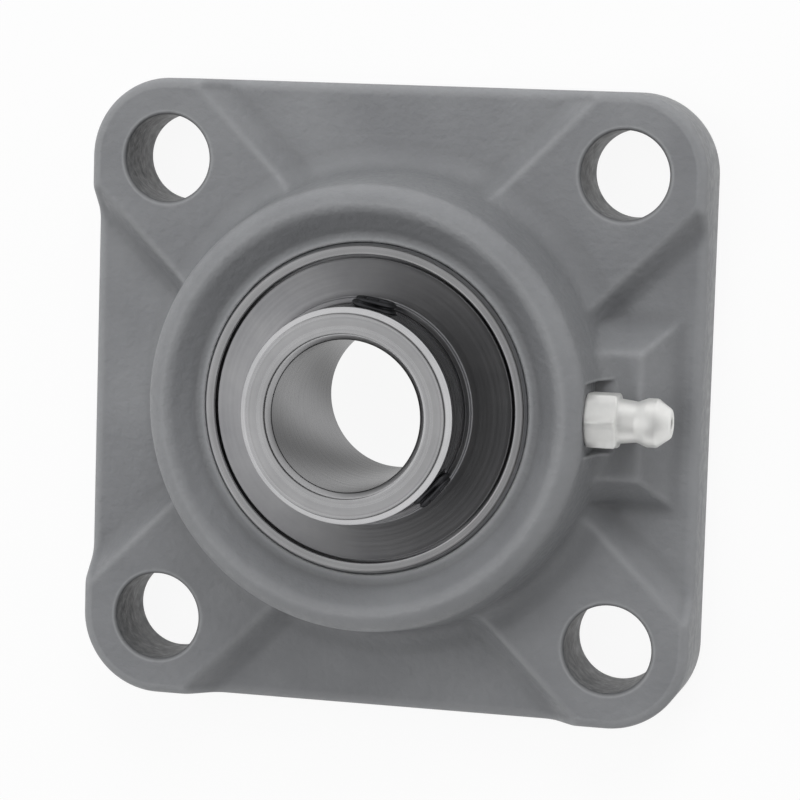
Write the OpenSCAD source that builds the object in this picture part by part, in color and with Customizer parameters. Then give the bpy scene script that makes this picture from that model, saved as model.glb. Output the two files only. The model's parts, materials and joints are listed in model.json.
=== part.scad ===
// Square flange bearing unit: a cast housing with four bolt holes and a self-aligning
// ball bearing insert that is locked on its shaft by two set screws.
// The mounting face lies at z = 0 and the shaft runs along z, out of the front.

/* [Flange] */
// Side of the square flange
flange_side = 86; // [82:1:90]
// Distance between the centres of neighbouring bolt holes
bolt_spacing = 64; // [60:1:68]
// Diameter of a bolt hole
bolt_hole_d = 12; // [9:0.5:13]
// Thickness of the flange at its corner lugs
lug_t = 12; // [10.5:0.5:14]
// Thickness of the flange at the floor of the four side pockets
pocket_t = 8.75; // [8:0.25:9.5]
// Width of a corner lug across its flat top
lug_w = 20; // [18:0.5:24]
// Sideways run of the sloping flanks of lugs and platform
flank_run = 2.5; // [1:0.25:3]
// Rounding along the top of the lugs' flanks
flank_round = 1; // [0.4:0.1:1.4]
// Fillet along the foot of those flanks
flank_fillet = 2; // [1:0.25:2.25]
// Rounding of the flange's front edge
edge_round = 1.2; // [0.6:0.2:2]

/* [Boss] */
// Wall of the boss outside the spherical seat, below the shoulder
boss_wall = 6.5; // [5.5:0.5:8]
// Rounding of the boss's front shoulder
boss_shoulder = 3; // [2.5:0.25:4.5]
// Draft angle of the boss's side
boss_draft = 8; // [4:1:10]
// Fillet around the foot of the boss, on the pocket floor and on the lugs
boss_fillet = 4; // [2:0.5:5]
// Height of the rim above the outer ring's front face
rim_rise = 2; // [1.5:0.1:2.4]
// Width of the flat crest of the rim, inside its shoulder
crest_w = 0.2; // [0.1:0.1:0.8]
// Depth of the seat's mouth, front and rear, below the faces of the outer ring
mouth_drop = 0.8; // [0.6:0.1:1.6]
// Width of the flat ledge around the front mouth of the seat
mouth_edge = 1.5; // [0.4:0.1:2]
// Radial room around the ring in the recess behind the seat
recess_room = 1.5; // [1:0.25:3]
// Room around the insert in the two slots that it is loaded through
slot_room = 0.3; // [0.2:0.1:0.6]

/* [Bearing insert] */
// Shaft bore of the inner ring
shaft_d = 20; // [18:0.5:21]
// Sphere diameter of the outer ring
outer_ring_d = 47; // [46:0.5:50]
// Width of the outer ring
outer_ring_w = 17; // [16.5:0.5:18]
// Height of the ball plane above the mounting face
seat_height = 15; // [14:0.5:18]
// Diameter of a ball
ball_d = 7.938; // [7.2:0.001:8.2]
// Number of balls
ball_count = 8; // [6:1:8]
// Depth of both ball grooves below their shoulders
groove_depth = 1.52; // [1.3:0.02:1.7]
// Extra radius of a ball groove over the ball's
groove_relief = 0.12; // [0.1:0.02:0.2]
// Chamfer at both ends of the inner ring
ring_chamfer = 0.8; // [0.4:0.1:1]
// Length of the inner ring past the rear slinger
rear_tail = 2.35; // [1.5:0.05:3]

/* [Set screws] */
// Thread diameter of a set screw
screw_d = 6; // [4:0.5:6]
// Length of a set screw
screw_l = 5; // [4:0.25:6]
// Hexagon socket of a set screw, across its flats
screw_socket = 3; // [2:0.5:3]
// Wall of the inner ring between the front slinger and a set screw hole
screw_wall = 0.35; // [0.2:0.05:1]
// Wall of the inner ring between a set screw hole and the front face
screw_end_wall = 1.6; // [1.2:0.1:3]
// Turn of the first set screw from the x axis
screw_turn = -40; // [-60:1:0]
// Angle between the two set screws
screw_split = 120; // [60:5:180]
// How far a loose set screw stays back from the bore
screw_back = 0.35; // [0.1:0.05:0.6]

/* [Cage] */
// Sheet thickness of a cage half
cage_t = 0.7; // [0.5:0.05:0.8]
// Room between the cage and both rings
cage_room = 0.8; // [0.5:0.05:1]
// Play of a ball in its cage pocket
pocket_play = 0.1; // [0.08:0.01:0.15]
// Shank diameter of a cage rivet
rivet_d = 1; // [0.8:0.05:1.2]
// Head diameter of a cage rivet
rivet_head_d = 1.9; // [1.6:0.05:2.2]
// Head height of a cage rivet
rivet_head_h = 0.4; // [0.3:0.05:0.5]

/* [Seals and slingers] */
// Depth of the seal's seat below the face of the outer ring
seal_depth = 2; // [1.8:0.05:2.2]
// How far the steel seal core bites into the outer ring's wall
seal_bite = 1.8; // [1.3:0.05:1.9]
// Width of the groove that holds the seal core
seal_groove_w = 0.8; // [0.7:0.05:0.9]
// Height of the step that keeps the seal core in its groove
seal_step = 0.4; // [0.2:0.05:0.5]
// Sheet thickness of the seal core
core_t = 0.6; // [0.4:0.05:0.7]
// Rubber thickness on each side of the seal core
rubber_t = 0.45; // [0.3:0.05:0.5]
// Width of the rubber over the seal core
rubber_grip = 1.4; // [1:0.1:1.8]
// Radial length of the rubber lip
lip_l = 1.5; // [1.1:0.1:1.8]
// Sheet thickness of a slinger
slinger_t = 0.7; // [0.5:0.05:0.8]
// Fall of a slinger from its collar to its rim
slinger_fall = 1.1; // [0.8:0.05:1.2]
// Height of a slinger's collar above its disc
slinger_collar = 0.8; // [0.5:0.05:1.2]
// Radial gap between a slinger's rim and the outer ring
slinger_gap = 0.35; // [0.3:0.05:0.8]
// Height of a slinger's disc at its collar above the face of the outer ring
slinger_rise = 0.35; // [0.3:0.05:0.6]

/* [Grease fitting] */
// Distance of the grease groove and fitting from the ball plane
grease_offset = 4.5; // [4.3:0.1:4.8]
// Width of the grease groove around the outer ring
grease_groove_w = 1.6; // [1.2:0.1:2]
// Depth of the grease groove around the outer ring
grease_groove_depth = 0.6; // [0.4:0.1:0.8]
// Diameter of the grease holes in the outer ring
grease_hole_d = 1.4; // [1:0.1:1.6]
// Thread diameter of the fitting
fitting_thread_d = 6; // [5.5:0.5:7]
// Thread length of the fitting
fitting_thread_l = 4.8; // [4:0.1:5]
// Depth of the fitting's hole past the end of its thread
thread_runout = 0.4; // [0.2:0.1:0.6]
// Hexagon of the fitting, across its flats
fitting_hex = 7; // [7:0.5:9]
// Height of the fitting's hexagon
fitting_hex_h = 4.2; // [3:0.1:5]
// Diameter of the fitting's head
fitting_head_d = 6.5; // [6:0.1:7]
// Diameter of the fitting's neck
fitting_neck_d = 5.4; // [4.8:0.1:5.6]
// Length of the fitting past its hexagon
fitting_head_l = 7; // [6.5:0.1:8]
// Depth of the flat that the fitting seats on
spot_depth = 0.8; // [0.6:0.1:1]
// Diameter of the mouth at the fitting's tip
fitting_mouth_d = 1.8; // [1.4:0.1:1.8]
// Diameter of the check ball in the fitting
check_ball_d = 3; // [2.6:0.1:3.1]
// Wire diameter of the check spring
spring_wire_d = 0.4; // [0.3:0.05:0.45]
// Turns of the check spring
spring_turns = 7; // [5:1:8]
// Width of the platform under the fitting, across its top
platform_w = 17; // [14:0.5:20]
// Reach of the platform past the boss's shoulder
platform_reach = 5.6; // [4:0.2:7]
// Drop of the platform's top below the fitting's hexagon
platform_drop = 1.4; // [1.2:0.1:2.5]

/* [Running fits] */
// Radial play of the outer ring in its spherical seat
seat_play = 0.05; // [0.03:0.01:0.08]
// Radial play of the balls in each groove
ball_play = 0.03; // [0.025:0.005:0.05]
// Radial play of the seal lips on the inner ring
lip_play = 0.05; // [0.03:0.01:0.08]
// Radial play of a screw thread in its hole
thread_play = 0.04; // [0.03:0.01:0.06]
// Gap that sheet metal, rivets and seats keep from what holds them
sheet_play = 0.02; // [0.01:0.005:0.04]

/* [Hidden] */
$fn = 96;
screw_count = 2;
hex_sides = 6;
wire_sides = 8;
wire_steps = 12;
// What a cut reaches past the face that it opens
over = 1;

cast_grey = "#7c7e82";
bright_steel = "#b9bcc0";
ground_steel = "#d3d5d8";
zinc = "#dcdcd6";
pressed_steel = "#8f9296";
rubber = "#26272a";

corner_r = (flange_side - bolt_spacing) / 2;
ball_r = ball_d / 2;
pitch_r = (shaft_d + outer_ring_d) / 4;
shaft_r = shaft_d / 2;
inner_ring_r = pitch_r - ball_r + groove_depth;
outer_bore_r = pitch_r + ball_r - groove_depth;
groove_r = ball_r + groove_relief;
ring_face = outer_ring_w / 2;
seat_r = outer_ring_d / 2 + seat_play;

seal_z = ring_face - seal_depth;
seal_groove_r = outer_bore_r + seal_bite;
seal_keep_r = seal_groove_r - seal_step;
core_in_r = inner_ring_r + lip_l;

slinger_in_r = inner_ring_r + sheet_play;
slinger_out_r = seal_keep_r - slinger_gap;
slinger_z = ring_face + slinger_rise;
slinger_top = slinger_z + slinger_t + slinger_collar;
ring_rear = slinger_top + rear_tail;
screw_z = slinger_top + screw_wall + screw_d / 2;
ring_front = screw_z + screw_d / 2 + screw_end_wall;
screw_tip_r = shaft_r + screw_back;
screw_chamfer = 0.5;
screw_socket_depth = screw_l / 2;

seat_half_w = ring_face - mouth_drop;
mouth_z = seat_height + seat_half_w;
housing_h = seat_height + ring_face + rim_rise;
mouth_r = sqrt(seat_r ^ 2 - seat_half_w ^ 2) + mouth_edge;
recess_depth = seat_height - seat_half_w;
recess_r = seat_r + recess_room;
boss_r = outer_ring_d / 2 + boss_wall;
// Centre of the shoulder's arc, and where it runs into the drafted side
shoulder_mid = [boss_r - boss_shoulder, housing_h - boss_shoulder];
boss_out = [cos(boss_draft), sin(boss_draft)];
side_top = shoulder_mid + boss_shoulder * boss_out;
// Inner edge of the rim's crest, where the funnel down to the seat begins
crest_r = shoulder_mid.x - crest_w;

fitting_z = seat_height + grease_offset;
fitting_x = side_top.x + (side_top.y - fitting_z) * tan(boss_draft) - spot_depth;
fitting_hex_r = fitting_hex / 2 / cos(180 / hex_sides);
spot_r = fitting_hex_r + platform_drop / 2;
platform_z = fitting_z - fitting_hex_r - platform_drop;
platform_x = boss_r + platform_reach;
head_r = fitting_head_d / 2;
neck_r = fitting_neck_d / 2;
check_r = check_ball_d / 2;
chamber_room = 0.2;
chamber_r = check_r + chamber_room;
// Stations along the fitting, from its seat on the housing
fitting_tip = fitting_hex_h + fitting_head_l;
head_land = 1.3;
head_taper = 1.9;
head_flare = 1.4;
head_top = fitting_tip - head_taper;
head_low = head_top - head_land;
neck_top = head_low - head_flare;
tip_land = 0.4;
check_mouth_r = fitting_mouth_d / 2;
cone_l = chamber_r - check_mouth_r;
cone_foot = fitting_tip - tip_land - cone_l;
// The check ball rests in the 45 degree cone behind the tip
check_x = cone_foot + chamber_r - (check_r + sheet_play) * sqrt(2);
chamber_foot = fitting_hex_h / 4;
passage_r = check_r - spring_wire_d - sheet_play;
coil_r = check_r - spring_wire_d / 2;
spring_foot = chamber_foot + spring_wire_d / 2 + sheet_play;
spring_head = check_x - sqrt((check_r + spring_wire_d / 2 + sheet_play) ^ 2 - coil_r ^ 2);

ball_nodes = [for (number = [1 : ball_count]) str("ball_", number)];
screw_nodes = [for (number = [1 : screw_count]) str("set_screw_", number)];

// Half section of a plate: a bar with its front outer edge rounded
module edge_section(reach, height) {
    square([reach - edge_round, height]);
    square([reach, height - edge_round]);
    translate([reach - edge_round, height - edge_round]) circle(edge_round);
}

// Square plate with a rounded front edge; its corners are concentric with the bolt holes
module rounded_plate(height) {
    for (x = [-1, 1], y = [-1, 1])
        translate([x * bolt_spacing / 2, y * bolt_spacing / 2, 0])
            rotate_extrude()
                edge_section(corner_r, height);
    for (turn = [0, 90])
        rotate([90, 0, turn])
            linear_extrude(bolt_spacing, center = true) {
                edge_section(flange_side / 2, height);
                mirror([1, 0]) edge_section(flange_side / 2, height);
            }
}

// Half of a section with a flat top and a sloping flank, filleted into the pocket floor
// and rounded into the top; the arcs touch the flank where its normal points
module half_flanked_section(width, height, top_round) {
    lean = atan(flank_run / (lug_t - pocket_t));
    normal = [cos(lean), sin(lean)];
    round_mid = [width / 2 - top_round * (1 - normal.y) / normal.x, height - top_round];
    drop = height - pocket_t - flank_fillet;
    foot_mid = [width / 2 + (flank_fillet + drop * normal.y) / normal.x, pocket_t + flank_fillet];
    difference() {
        union() {
            polygon([
                [0, pocket_t / 2], [foot_mid.x, pocket_t / 2], [foot_mid.x, pocket_t],
                foot_mid - flank_fillet * normal, round_mid + top_round * normal,
                [round_mid.x, height], [0, height]
            ]);
            if (top_round > 0)
                translate(round_mid) circle(top_round);
        }
        translate(foot_mid) circle(flank_fillet);
    }
}

module flanked_section(width, height, top_round = 0) {
    half_flanked_section(width, height, top_round);
    mirror([1, 0]) half_flanked_section(width, height, top_round);
}

// Extrudes a section from corner to corner, along both diagonals of the flange
module diagonals() {
    for (turn = [45, 135])
        rotate([90, 0, turn])
            rotate([0, 90, 0])
                linear_extrude(2 * flange_side, center = true)
                    children();
}

// Two bars from corner to corner that leave the side pockets between them
module lugs() {
    intersection() {
        rounded_plate(lug_t);
        diagonals() flanked_section(lug_w, lug_t, flank_round);
    }
}

// Centre of the arc that touches the boss's drafted side and a floor at that height
function fillet_mid(floor_z) =
    let (z = floor_z + boss_fillet)
    [side_top.x + (boss_fillet - (z - side_top.y) * boss_out.y) / boss_out.x, z];

// Drafted boss with a rounded shoulder, filleted into the pocket floor; its section is
// turned from the side opposite the fitting
module boss() {
    mid = fillet_mid(pocket_t);
    rotate([0, 0, 180])
        rotate_extrude()
            difference() {
                union() {
                    polygon([
                        [0, 0], [mid.x, 0], [mid.x, pocket_t], mid - boss_fillet * boss_out,
                        side_top, [shoulder_mid.x, housing_h], [0, housing_h]
                    ]);
                    translate(shoulder_mid) circle(boss_shoulder);
                }
                translate(mid) circle(boss_fillet);
            }
}

// Fillets between the boss and the tops of the lugs, narrowing upwards with the flanks
module gussets() {
    mid = fillet_mid(lug_t);
    foot = mid - boss_fillet * boss_out;
    half_w = lug_w / 2 - flank_round;
    low_w = half_w + flank_run;
    high_w = half_w - flank_run / (lug_t - pocket_t) * boss_fillet;
    high_z = lug_t + boss_fillet;
    intersection() {
        rotate_extrude()
            difference() {
                polygon([[seat_r, pocket_t], [mid.x, pocket_t], [mid.x, lug_t], foot, [seat_r, foot.y]]);
                translate(mid) circle(boss_fillet);
            }
        diagonals()
            polygon([[-low_w, pocket_t], [low_w, pocket_t], [high_w, high_z], [-high_w, high_z]]);
    }
}

// Raised platform below the grease fitting, sloping on three sides
module platform() {
    intersection() {
        rotate([90, 0, 90])
            linear_extrude(flange_side / 2)
                flanked_section(platform_w, platform_z);
        rotate([90, 0, 0])
            linear_extrude(flange_side, center = true)
                flanked_section(2 * platform_x, platform_z);
    }
}

// Moves what is drawn along z to the place of the fitting, pointing outwards
module at_fitting() {
    translate([fitting_x, 0, fitting_z])
        rotate([0, 90, 0])
            children();
}

// Flat seat, milled from the front, with the threaded hole and grease passage of the fitting
module fitting_port() {
    thread_depth = fitting_thread_l + thread_runout;
    cylinder(r = spot_r, h = platform_reach);
    translate([-housing_h, -spot_r, 0]) cube([housing_h, 2 * spot_r, platform_reach]);
    translate([0, 0, -thread_depth])
        cylinder(r = fitting_thread_d / 2 + thread_play, h = thread_depth + over);
    translate([0, 0, -boss_r / 2]) cylinder(d = grease_hole_d, h = boss_r / 2);
}

// Two slots behind the seat, which let the insert in edgewise
module loading_slots() {
    slot_w = outer_ring_w + 2 * slot_room;
    intersection() {
        translate([0, 0, -over]) cylinder(r = seat_r + slot_room, h = seat_height + over);
        translate([-slot_w / 2, -flange_side / 2, -over]) cube([slot_w, flange_side, flange_side]);
    }
}

// Spherical seat, the ledge and funnel in front of it and the recess behind it
module seat_mouth() {
    rise = housing_h - mouth_z;
    flare = (crest_r - mouth_r) / rise;
    translate([0, 0, seat_height]) sphere(seat_r);
    translate([0, 0, mouth_z]) cylinder(r1 = mouth_r, r2 = crest_r + flare * over, h = rise + over);
    translate([0, 0, -over]) cylinder(r = recess_r, h = recess_depth + over);
}

module bolt_holes() {
    for (x = [-1, 1], y = [-1, 1])
        translate([x * bolt_spacing / 2, y * bolt_spacing / 2, -over])
            cylinder(d = bolt_hole_d, h = lug_t + 2 * over);
}

module housing() {
    color(cast_grey)
        difference() {
            union() {
                rounded_plate(pocket_t);
                lugs();
                gussets();
                difference() {
                    boss();
                    at_fitting() fitting_port();
                }
                platform();
            }
            seat_mouth();
            loading_slots();
            bolt_holes();
        }
}

// Grease fitting: thread, hexagon, neck and the head that a grease coupler grips
module grease_fitting_body() {
    thread_r = fitting_thread_d / 2;
    color(zinc)
        at_fitting()
            difference() {
                union() {
                    translate([0, 0, -fitting_thread_l]) cylinder(r = thread_r, h = fitting_thread_l + over);
                    cylinder(r = fitting_hex_r, h = fitting_hex_h, $fn = hex_sides);
                    rotate_extrude()
                        polygon([
                            [0, over], [thread_r, over], [thread_r, fitting_hex_h], [neck_r, neck_top],
                            [head_r, head_low], [head_r, head_top],
                            [check_mouth_r + head_taper / 2, fitting_tip], [0, fitting_tip]
                        ]);
                }
                translate([0, 0, -fitting_thread_l - over])
                    cylinder(r = passage_r, h = fitting_thread_l + chamber_foot + 2 * over);
                translate([0, 0, chamber_foot]) cylinder(r = chamber_r, h = cone_foot - chamber_foot);
                translate([0, 0, cone_foot]) cylinder(r1 = chamber_r, r2 = check_mouth_r, h = cone_l);
                translate([0, 0, cone_foot]) cylinder(r = check_mouth_r, h = fitting_tip - cone_foot + over);
            }
}

function coil_point(turns) =
    let (angle = 360 * turns)
    [coil_r * cos(angle), coil_r * sin(angle),
     spring_foot + (spring_head - spring_foot) * turns / spring_turns];

function coil_ring(turns) =
    let (mid = coil_point(turns), angle = 360 * turns, wire_r = spring_wire_d / 2)
    [for (side = [0 : wire_sides - 1])
        let (around = 360 * side / wire_sides)
        mid + wire_r * [cos(around) * cos(angle), cos(around) * sin(angle), sin(around)]];

// Round wire wound around the fitting's axis, one ring of points after another
module grease_fitting_spring() {
    rings = spring_turns * wire_steps;
    points = [for (ring = [0 : rings]) each coil_ring(ring / wire_steps)];
    first = [for (side = [0 : wire_sides - 1]) side];
    last = [for (side = [wire_sides - 1 : -1 : 0]) rings * wire_sides + side];
    walls = [for (ring = [0 : rings - 1], side = [0 : wire_sides - 1])
        let (low = ring * wire_sides, high = low + wire_sides, next = (side + 1) % wire_sides)
        [low + side, high + side, high + next, low + next]];
    color(bright_steel)
        at_fitting()
            polyhedron(points, concat([first, last], walls));
}

module grease_check_ball() {
    color(bright_steel)
        at_fitting()
            translate([0, 0, check_x])
                sphere(check_r);
}

// Moves what is drawn around the ball plane to its height above the mounting face
module at_ball_plane() {
    translate([0, 0, seat_height]) children();
}

// Draws the children on the front side of the ball plane, or mirrored on the rear side
module on_side(front) {
    at_ball_plane()
        mirror([0, 0, front ? 0 : 1])
            children();
}

// Grooves for one seal: the wide one holds its core, the narrow one opens to the face
module seal_seat_section() {
    translate([0, seal_z]) square([seal_groove_r, seal_groove_w]);
    translate([0, seal_z]) square([seal_keep_r, seal_depth + over]);
}

module outer_ring() {
    sphere_r = outer_ring_d / 2;
    grease_r = sqrt(sphere_r ^ 2 - grease_offset ^ 2) - grease_groove_depth;
    race_mid = pitch_r + ball_r + ball_play - groove_r;
    color(ground_steel)
        at_ball_plane()
            difference() {
                rotate_extrude()
                    difference() {
                        intersection() {
                            circle(sphere_r);
                            translate([outer_bore_r, -ring_face]) square([sphere_r, outer_ring_w]);
                        }
                        translate([race_mid, 0]) circle(groove_r);
                        seal_seat_section();
                        mirror([0, 1]) seal_seat_section();
                        translate([grease_r, grease_offset - grease_groove_w / 2])
                            square([sphere_r, grease_groove_w]);
                    }
                for (turn = [0, 180])
                    rotate([0, 90, turn])
                        translate([-grease_offset, 0, pitch_r])
                            cylinder(d = grease_hole_d, h = sphere_r);
            }
}

// Steel washer that snaps into the outer ring's groove
module seal_core(front) {
    color(bright_steel)
        on_side(front)
            translate([0, 0, seal_z])
                difference() {
                    cylinder(r = seal_groove_r - sheet_play, h = core_t);
                    translate([0, 0, -over]) cylinder(r = core_in_r, h = core_t + 2 * over);
                }
}

// Rubber moulded around the core's inner edge, ending in a lip on the inner ring
module seal_lip(front) {
    grip_r = core_in_r + rubber_grip;
    root_r = core_in_r - rubber_t;
    tip_r = inner_ring_r + lip_play;
    low = seal_z - rubber_t;
    core_top = seal_z + core_t;
    high = core_top + rubber_t;
    color(rubber)
        on_side(front)
            rotate_extrude()
                polygon([
                    [tip_r, seal_z], [root_r, low], [grip_r, low], [grip_r, seal_z], [core_in_r, seal_z],
                    [core_in_r, core_top], [grip_r, core_top], [grip_r, high], [root_r, high],
                    [tip_r, core_top]
                ]);
}

module front_seal_core() {
    seal_core(true);
}

module rear_seal_core() {
    seal_core(false);
}

module front_seal_lip() {
    seal_lip(true);
}

module rear_seal_lip() {
    seal_lip(false);
}

module screw_hole(number) {
    at_screw(number)
        translate([0, 0, -screw_back - over])
            cylinder(r = screw_d / 2 + thread_play, h = screw_back + inner_ring_r);
}

// Moves what is drawn along z to a set screw's place, its foot towards the shaft
module at_screw(number) {
    turn = screw_turn + screw_split * (number - 1);
    at_ball_plane()
        rotate([0, 0, turn])
            translate([screw_tip_r, 0, screw_z])
                rotate([0, 90, 0])
                    children();
}

module inner_ring() {
    bore_end_r = shaft_r + ring_chamfer;
    rim_r = inner_ring_r - ring_chamfer;
    race_mid = pitch_r - ball_r - ball_play + groove_r;
    color(ground_steel)
        difference() {
            at_ball_plane()
                rotate_extrude()
                    difference() {
                        polygon([
                            [bore_end_r, -ring_rear], [rim_r, -ring_rear],
                            [inner_ring_r, -ring_rear + ring_chamfer],
                            [inner_ring_r, ring_front - ring_chamfer],
                            [rim_r, ring_front], [bore_end_r, ring_front],
                            [shaft_r, ring_front - ring_chamfer], [shaft_r, -ring_rear + ring_chamfer]
                        ]);
                        translate([race_mid, 0]) circle(groove_r);
                    }
            for (number = [1 : screw_count])
                screw_hole(number);
        }
}

// Stamped disc that falls from a collar on the inner ring to a rim inside the outer ring
module slinger(front) {
    bend_r = slinger_in_r + slinger_t;
    rim_z = slinger_z - slinger_fall;
    color(bright_steel)
        on_side(front)
            rotate_extrude()
                polygon([
                    [slinger_in_r, slinger_z], [bend_r, slinger_z], [slinger_out_r, rim_z],
                    [slinger_out_r, rim_z + slinger_t], [bend_r, slinger_z + slinger_t],
                    [bend_r, slinger_top], [slinger_in_r, slinger_top]
                ]);
}

module front_slinger() {
    slinger(true);
}

module rear_slinger() {
    slinger(false);
}

module set_screw(number) {
    screw_r = screw_d / 2;
    end_r = screw_r - screw_chamfer;
    color(bright_steel)
        at_screw(number)
            difference() {
                rotate_extrude()
                    polygon([
                        [0, 0], [end_r, 0], [screw_r, screw_chamfer], [screw_r, screw_l - screw_chamfer],
                        [end_r, screw_l], [0, screw_l]
                    ]);
                translate([0, 0, screw_l - screw_socket_depth])
                    cylinder(d = screw_socket / cos(180 / hex_sides), h = screw_l, $fn = hex_sides);
                translate([0, 0, -over])
                    cylinder(r1 = end_r / 2 + over, r2 = 0, h = end_r / 2 + over);
            }
}

// Repeats the children at each ball, or half a step on where the rivets are
module around_pitch(shift = 0) {
    for (number = [1 : ball_count])
        rotate([0, 0, 360 / ball_count * (number - 1 + shift)])
            translate([pitch_r, 0, 0])
                children();
}

// Ribbon of sheet metal, flat between the balls and dished around each one
module cage_half(front) {
    pocket_r = ball_r + pocket_play;
    dish_r = pocket_r + cage_t;
    ribbon_in_r = inner_ring_r + cage_room;
    ribbon_out_r = outer_bore_r - cage_room;
    color(pressed_steel)
        on_side(front)
            intersection() {
                difference() {
                    cylinder(r = ribbon_out_r, h = dish_r + over);
                    translate([0, 0, -over]) cylinder(r = ribbon_in_r, h = dish_r + 3 * over);
                }
                difference() {
                    union() {
                        translate([0, 0, -over]) cylinder(r = outer_bore_r, h = cage_t + over);
                        around_pitch() sphere(dish_r);
                    }
                    around_pitch() sphere(pocket_r);
                    around_pitch(0.5)
                        translate([0, 0, -2 * over])
                            cylinder(d = rivet_d + 2 * sheet_play, h = cage_t + 3 * over);
                }
            }
}

module cage_front_half() {
    cage_half(true);
}

module cage_rear_half() {
    cage_half(false);
}

// One rivet in each flat of the cage, headed on both sides
module cage_rivets() {
    crown_r = rivet_head_d / 3;
    head_top_z = cage_t + rivet_head_h;
    color(bright_steel)
        at_ball_plane()
            around_pitch(0.5)
                rotate_extrude()
                    polygon([
                        [0, -head_top_z], [crown_r, -head_top_z], [rivet_head_d / 2, -cage_t],
                        [rivet_d / 2, -cage_t], [rivet_d / 2, cage_t],
                        [rivet_head_d / 2, cage_t], [crown_r, head_top_z], [0, head_top_z]
                    ]);
}

module ball(number) {
    color(ground_steel)
        at_ball_plane()
            rotate([0, 0, 360 / ball_count * (number - 1)])
                translate([pitch_r, 0, 0])
                    sphere(ball_r);
}

housing();
grease_fitting_body();
grease_fitting_spring();
grease_check_ball();
outer_ring();
front_seal_core();
front_seal_lip();
rear_seal_core();
rear_seal_lip();
inner_ring();
front_slinger();
rear_slinger();
cage_front_half();
cage_rear_half();
cage_rivets();
for (number = [1 : screw_count])
    set_screw(number);
for (number = [1 : ball_count])
    ball(number);
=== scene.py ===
# %% [markdown]
# # Looks for a square flange bearing
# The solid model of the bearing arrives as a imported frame: its nodes already sit in the right place and know
# which body they move with. This lesson dresses that frame. It could be done by giving every solid a
# material, but the solids are made of coarse triangles with hard edges, while the real housing is a
# soft-edged casting. So the visible pieces are worked out again as smooth surfaces, and the hidden ones keep
# their solids.

# %% Load the frame
import json

import bmesh
import bpy
import numpy as np
from mathutils import Matrix


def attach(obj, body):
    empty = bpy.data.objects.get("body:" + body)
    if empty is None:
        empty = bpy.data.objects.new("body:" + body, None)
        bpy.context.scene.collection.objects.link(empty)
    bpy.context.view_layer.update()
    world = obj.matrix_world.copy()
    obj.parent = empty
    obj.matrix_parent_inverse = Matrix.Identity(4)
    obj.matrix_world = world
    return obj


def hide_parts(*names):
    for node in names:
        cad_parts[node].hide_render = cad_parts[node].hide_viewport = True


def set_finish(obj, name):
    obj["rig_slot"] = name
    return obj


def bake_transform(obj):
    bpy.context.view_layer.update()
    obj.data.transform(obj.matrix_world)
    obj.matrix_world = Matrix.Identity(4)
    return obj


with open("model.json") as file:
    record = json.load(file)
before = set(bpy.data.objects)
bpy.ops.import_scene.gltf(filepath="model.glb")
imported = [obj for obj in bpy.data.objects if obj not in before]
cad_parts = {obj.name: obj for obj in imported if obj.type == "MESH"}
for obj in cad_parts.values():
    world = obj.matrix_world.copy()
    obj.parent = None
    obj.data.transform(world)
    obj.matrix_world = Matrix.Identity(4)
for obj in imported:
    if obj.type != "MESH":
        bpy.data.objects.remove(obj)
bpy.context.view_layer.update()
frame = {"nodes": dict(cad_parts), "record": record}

print("nodes in the frame:", len(frame["nodes"]))

# %% [markdown]
# ## From grids of points to meshes
# Each piece is one or more grids of points, in millimetres, worked out as whole arrays. Where two grids share
# an edge, they share its points, so merging the doubles closes the skin. A sculpted mesh could look the same,
# but a grid keeps the formula of the shape in sight and can be made finer with one number.

# %% Grid helpers
MM = 0.001
MERGE_DISTANCE = 2e-6
TINY = 1e-9


def grid_quads(rows, columns, first, closed):
    """Corner numbers of a grid's quads, counted row by row; a closed grid joins its last column to the
    first."""
    row, column = np.meshgrid(np.arange(rows - 1), np.arange(columns - (not closed)), indexing="ij")
    beside = (column + 1) % columns
    low, high = row * columns, (row + 1) * columns
    return (first + np.stack([low + column, low + beside, high + beside, high + column], -1)).reshape(-1, 4)


def mark_edges(mesh):
    """Stores how sharply the skin bends: the turn of the normal along each mesh edge over the edge's length,
    averaged at the points. It is positive on outer edges and negative in corners."""
    count = len(mesh.vertices)
    place, normal = np.empty(count * 3), np.empty(count * 3)
    mesh.vertices.foreach_get("co", place)
    mesh.vertices.foreach_get("normal", normal)
    place, normal = place.reshape(-1, 3) / MM, normal.reshape(-1, 3)
    ends = np.empty(len(mesh.edges) * 2, np.int32)
    mesh.edges.foreach_get("vertices", ends)
    a, b = ends.reshape(-1, 2).T
    step = place[b] - place[a]
    turn = np.einsum("ij,ij->i", normal[b] - normal[a], step)
    bend = turn / np.maximum(np.einsum("ij,ij->i", step, step), TINY)
    total = np.bincount(a, bend, count) + np.bincount(b, bend, count)
    touch = np.bincount(a, minlength=count) + np.bincount(b, minlength=count)
    mesh.attributes.new("bend", "FLOAT", "POINT").data.foreach_set("value", total / np.maximum(touch, 1))


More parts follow.
